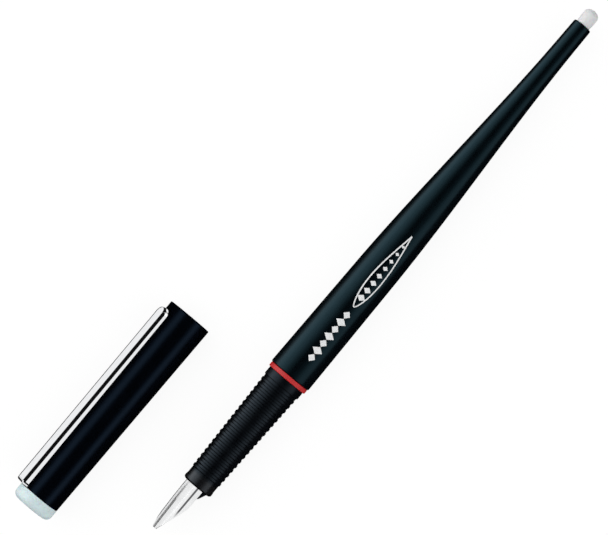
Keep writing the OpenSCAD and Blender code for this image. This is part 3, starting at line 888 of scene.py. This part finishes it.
def on_clip(u, side, height):
    """A place on the straight clip, leaned with the tube's taper."""
    du, base = u - CLIP_ROOT, cap_radius(CLIP_ROOT)
    return on_cap(CLIP_ROOT + du * math.cos(LEAN) + height * math.sin(LEAN), side,
                  base + height * math.cos(LEAN) - du * math.sin(LEAN))


def make_clip():
    """One strip: a flat tang, a bend, and an arm whose folded sides run on round its tip."""
    points, faces = [], []
    bend_x, tip_x = CLIP_ROOT - BEND_R, CLIP_TIP + CLIP_W / 2
    side_run = spaced(bend_x, tip_x, 2)
    outline = [(u, 0, 1) for u in side_run]
    outline += [(tip_x, math.sin(math.pi * k / TIP_STEPS), math.cos(math.pi * k / TIP_STEPS))
                for k in range(1, TIP_STEPS)]
    outline += [(u, 0, -1) for u in reversed(side_run)]
    count = len(clip_profile(CLIP_H))
    inner = CLIP_W / 2 - CLIP_T
    for u, forward, aside in outline:
        profile = clip_profile(side_depth(u - inner * forward, inner * aside))
        points += [on_clip(u - x * forward, x * aside, CLIP_H - down) for x, down in profile]
    for i in range(len(outline) - 1):
        for k in range(count - 1):
            a, b = i * count + k, (i + 1) * count + k
            faces.append((a, a + 1, b + 1, b))
    last = len(points) - count
    faces += [tuple(range(count)), tuple(range(last, last + count))]

    # The bend and the tang start just inside the arm, so that the two shells share no edge
    half = CLIP_TOP_W / 2
    strip = [(bend_x - 0.02, CLIP_H, 0)]
    strip += [(bend_x + BEND_R * math.sin(a), CLIP_H - BEND_R * (1 - math.cos(a)), a)
              for a in [math.pi / 2 * k / BEND_STEPS for k in range(1, BEND_STEPS + 1)]]
    foot = TANG_FOOT - cap_radius(CLIP_ROOT)
    strip += [(CLIP_ROOT, z, math.pi / 2) for z in spaced(CLIP_H - BEND_R - 0.4, foot, 0.6)]
    sections = []
    for u, z, a in strip:
        sections.append([on_clip(u - math.sin(a) * down, side, z - math.cos(a) * down)
                         for side, down in ((-half, 0), (0, 0), (half, 0), (half, CLIP_T),
                                            (0, CLIP_T), (-half, CLIP_T))])
    lofted(sections, points, faces)
    clip = mesh_piece("chrome_clip", points, faces)
    bevelled(clip, 0.04)
    adopt(clip, "clip")


# ---------------------------------------------------------------- ornament on the barrel

ORNAMENT_TURN = math.radians(-12)
INK_PROUD, INK_T, HAIRLINE_W = 0.006, 0.012, 0.32
BAND_START, BAND_LOZENGES, BAND_PITCH = RING_END + 6.5, 7, 2.1
LEAF_START, LEAF_LEN, LEAF_HALF, LEAF_STEPS = BAND_START + 15, 21, 1.65, 48
LEAF_LOZENGES, LEAF_PITCH = 8, 2.15


def on_barrel(x, side):
    """A place on the barrel's surface, a little proud of it."""
    r = barrel_radius(x) + INK_PROUD
    angle = ORNAMENT_TURN - side / r
    return (x, r * math.sin(angle), r * math.cos(angle))


def add_lozenge(points, faces, x, length, height):
    """A lozenge of strips that follow the barrel's curve."""
    start, steps = len(points), 8
    for k in range(steps + 1):
        side = height / 2 * (2 * k / steps - 1)
        reach = max(length / 2 * (1 - abs(2 * side / height)), 0.01)
        points += [on_barrel(x - reach, side), on_barrel(x + reach, side)]
    for k in range(steps):
        a = start + 2 * k
        faces.append((a, a + 1, a + 3, a + 2))


def add_hairline(points, faces, path, width):
    """A thin band along a path of (x, side) places."""
    start = len(points)
    for x, side in path:
        points += [on_barrel(x, side - width / 2), on_barrel(x, side + width / 2)]
    for k in range(len(path) - 1):
        a = start + 2 * k
        faces.append((a, a + 1, a + 3, a + 2))


def make_ornament():
    """A generic printed ornament: a row of lozenges, then smaller ones in a leaf of hairlines."""
    points, faces = [], []
    for i in range(BAND_LOZENGES):
        add_lozenge(points, faces, BAND_START + BAND_PITCH * i, 2.0, 2.8 if i % 2 else 1.9)
    for i in range(LEAF_LOZENGES):
        size = 2.1 - 0.17 * i
        add_lozenge(points, faces, LEAF_START + 2.8 + LEAF_PITCH * i, 0.8 * size, size)
    for sign in (-1, 1):
        path = []
        for k in range(LEAF_STEPS + 1):
            t = k / LEAF_STEPS
            path.append((LEAF_START + LEAF_LEN * t,
                         sign * LEAF_HALF * math.sin(math.pi * t ** 0.7)))
        add_hairline(points, faces, path, HAIRLINE_W)
    mesh = bpy.data.meshes.new("printed_ornament")
    mesh.from_pydata([Vector(p) * MM for p in points], [], faces)
    piece = bpy.data.objects.new("printed_ornament", mesh)
    scene.collection.objects.link(piece)
    change = piece.modifiers.new("ink", "SOLIDIFY")
    change.thickness = INK_T * MM
    change.offset = -1
    mesh.materials.append(print_white())
    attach(piece, BODY_OF["barrel"])


make_grip()
make_ring()
make_barrel()
make_tail_plug()
make_nib()
make_feed()
make_tube()
make_knob()
make_rod()
make_cap()
make_clip()
make_ornament()


# ---------------------------------------------------------------- stage, light and camera

VIEW_TURN = math.radians(-50.085)
VIEW_WIDTH = 139.8 * MM
VIEW_CENTRE = Vector((22.34 * MM, 13.44 * MM, 0))
VIEW_DISTANCE = 1.2
SENSOR = 36.0
FLOOR_HALF = 1.5
LIGHT_DISTANCE, SOFTBOX_LEN = 0.8, 1.4


def paper(name, shade, glow):
    """Plain matt paper with a glow of its own, so that it comes out nearly white."""
    made = bpy.data.materials.new(name)
    made.use_nodes = True
    shader = made.node_tree.nodes["Principled BSDF"]
    shader.inputs["Base Color"].default_value = (shade, shade, shade, 1)
    shader.inputs["Roughness"].default_value = 1
    shader.inputs["Specular IOR Level"].default_value = 0
    shader.inputs["Emission Color"].default_value = (1, 1, 1, 1)
    shader.inputs["Emission Strength"].default_value = glow
    return made


def add_floor():
    """Pale paper just under the pen."""
    mesh = bpy.data.meshes.new("floor")
    work = bmesh.new()
    bmesh.ops.create_grid(work, x_segments=2, y_segments=2, size=FLOOR_HALF)
    work.to_mesh(mesh)
    work.free()
    floor = bpy.data.objects.new("floor", mesh)
    floor.location = (VIEW_CENTRE.x, VIEW_CENTRE.y, FLOOR_Z - 0.02 * MM)
    scene.collection.objects.link(floor)
    mesh.materials.append(paper("pale_floor", 0.12, 0.91))
    floor.visible_glossy = False
    floor.visible_shadow = False


def add_backdrop():
    """A pale wall round the floor that only the camera sees, for low views."""
    steps, inside, bend, radius, top = 96, 1.2, 0.6, 3.2, 3.0
    outline = [(inside, 0)]
    outline += [(radius - bend * (1 - math.sin(a)), bend * (1 - math.cos(a)))
                for a in [math.pi / 2 * k / 12 for k in range(13)]]
    outline.append((radius, top))
    points, faces = [], []
    for r, z in outline:
        for k in range(steps):
            a = 2 * math.pi * k / steps
            points.append((r * math.cos(a), r * math.sin(a), z))
    for i in range(len(outline) - 1):
        for k in range(steps):
            a, b, n = i * steps, (i + 1) * steps, (k + 1) % steps
            faces.append((a + k, a + n, b + n, b + k))
    mesh = bpy.data.meshes.new("backdrop")
    mesh.from_pydata(points, [], faces)
    for face in mesh.polygons:
        face.use_smooth = True
    wall = bpy.data.objects.new("backdrop", mesh)
    wall.location = (VIEW_CENTRE.x, VIEW_CENTRE.y, FLOOR_Z - MM)
    scene.collection.objects.link(wall)
    mesh.materials.append(paper("pale_wall", 0, 0.96))
    wall.visible_diffuse = False
    wall.visible_glossy = False
    wall.visible_shadow = False


def area_light(name, length, width, radiance, pieces):
    """A rectangle of even radiance that the camera doesn't see; pieces are all it lights."""
    light = bpy.data.lights.new(name, "AREA")
    light.shape = "RECTANGLE"
    light.size, light.size_y = length, width
    light.energy = radiance * math.pi * length * width
    made = bpy.data.objects.new(name, light)
    made.visible_camera = False
    scene.collection.objects.link(made)
    if pieces:
        receivers = bpy.data.collections.new(name + "_receivers")
        for piece in pieces:
            receivers.objects.link(piece)
        made.light_linking.receiver_collection = receivers
    return made


def face_back(light, centre, away, side):
    """Puts a light away from a centre and turns it to face the centre."""
    turn = Matrix((side, away.cross(side), away)).transposed()
    light.matrix_world = Matrix.Translation(centre + LIGHT_DISTANCE * away) @ turn.to_4x4()


def add_softbox(name, start, end, radiance, pieces=None, glossy=True, diffuse=True):
    """A long softbox parallel to the pen, between two angles from straight up toward +Y."""
    middle = math.radians((start + end) / 2)
    width = 2 * LIGHT_DISTANCE * math.tan(math.radians(abs(end - start) / 2))
    box = area_light(name, SOFTBOX_LEN, width, radiance, pieces)
    box.visible_glossy = glossy
    box.visible_diffuse = diffuse
    face_back(box, Vector((VIEW_CENTRE.x, VIEW_CENTRE.y, 0)),
              Vector((0, math.sin(middle), math.cos(middle))), Vector((1, 0, 0)))


def add_card(name, start, end, near, far, radiance, pieces):
    """A low reflector lying on the floor at the +Y side, facing up, for the bright metal."""
    card = area_light(name, end - start, far - near, radiance, pieces)
    card.location = ((start + end) / 2, (near + far) / 2, FLOOR_Z + 0.5 * MM)
    card.rotation_euler = (math.pi, 0, 0)


def add_end_panel(name, across, height, size, radiance, pieces):
    """A square softbox far out; its two angles are from +X, toward +Y and up."""
    across, height = math.radians(across), math.radians(height)
    panel = area_light(name, size, size, radiance, pieces)
    away = Vector((math.cos(height) * math.cos(across), math.cos(height) * math.sin(across),
                   math.sin(height)))
    face_back(panel, CAP_AXIS, away, Vector((-math.sin(across), math.cos(across), 0)))


def add_camera():
    """Straight down, from far enough for an almost parallel view."""
    data = bpy.data.cameras.new("camera")
    data.sensor_width = SENSOR
    data.lens = SENSOR * VIEW_DISTANCE / VIEW_WIDTH
    data.clip_start = 0.01
    camera = bpy.data.objects.new("camera", data)
    camera.location = VIEW_CENTRE + Vector((0, 0, VIEW_DISTANCE))
    camera.rotation_euler = (0, 0, VIEW_TURN)
    scene.collection.objects.link(camera)
    scene.camera = camera


world = bpy.data.worlds.new("studio")
world.use_nodes = True
world.node_tree.nodes["Background"].inputs["Color"].default_value = (1, 1, 1, 1)
world.node_tree.nodes["Background"].inputs["Strength"].default_value = 0.005
scene.world = world
add_floor()
add_backdrop()
made = bpy.data.objects
pen = [made[name] for name in ("long_barrel", "ribbed_grip", "finned_feed", "red_trim_ring",
                               "pale_tail_plug", "pale_cap_plug", "printed_ornament")]
cap_black, nib, clip = [made["black_cap_tube"]], [made["italic_nib"]], [made["chrome_clip"]]

# Mirror rays don't see these, so they don't show in each other
for name in ("black_cap_tube", "pale_cap_plug", "italic_nib", "chrome_clip"):
    made[name].visible_glossy = False

# Softboxes whose reflections draw the light bands along the pen and the cap, side by side:
# from and to in degrees from straight up toward +Y, and radiance
PEN_BANDS = ((96, 110, 0.35), (62, 96, 1.35), (42, 62, 0.9), (28, 42, 0.55), (14, 28, 0.2),
             (-34, -16, 0.08), (-46, -34, 0.36), (-78, -46, 0.58))
CAP_BANDS = ((50, 60, 0.2), (28, 50, 0.46), (20, 28, 0.18),
             (-46, -36, 0.18), (-64, -46, 0.48), (-74, -64, 0.2))
for start, end, radiance in PEN_BANDS:
    add_softbox("light_pen_%d" % start, start, end, radiance, pen, diffuse=False)
for start, end, radiance in CAP_BANDS:
    add_softbox("light_cap_%d" % start, start, end, radiance, cap_black, diffuse=False)

# Soft light on everything, without reflections
add_softbox("light_fill_left", 2, 88, 1.4, glossy=False)
add_softbox("light_fill_right", -88, -2, 0.95, glossy=False)

# What the chrome clip mirrors: from above first, then from its ends and from low views
add_softbox("light_clip_right", -86, -36, 0.9, clip)
add_card("card_clip", -0.17, 0.23, 0.0415, 0.14, 0.92, clip)
add_card("card_clip_tip", -0.0025, 0.06, 0.008, 0.0322, 0.95, clip)
add_end_panel("light_clip_end", -38, 20, 0.6, 0.9, clip)
add_end_panel("light_clip_behind", 47, 24, 0.8, 0.75, clip)
add_end_panel("light_clip_beyond", 133, 20, 0.8, 0.75, clip)

# What the steel nib mirrors
add_softbox("light_nib_left", 20, 98, 0.9, nib)
add_softbox("light_nib_right", -86, 22, 0.92, nib)
add_card("card_nib", -0.2, 0.1, 0.0075, 0.12, 0.86, nib)
add_end_panel("light_nib_ahead", 180, 32, 1.1, 0.8, nib)
add_end_panel("light_nib_behind", 0, 32, 1.1, 0.8, nib)
add_camera()
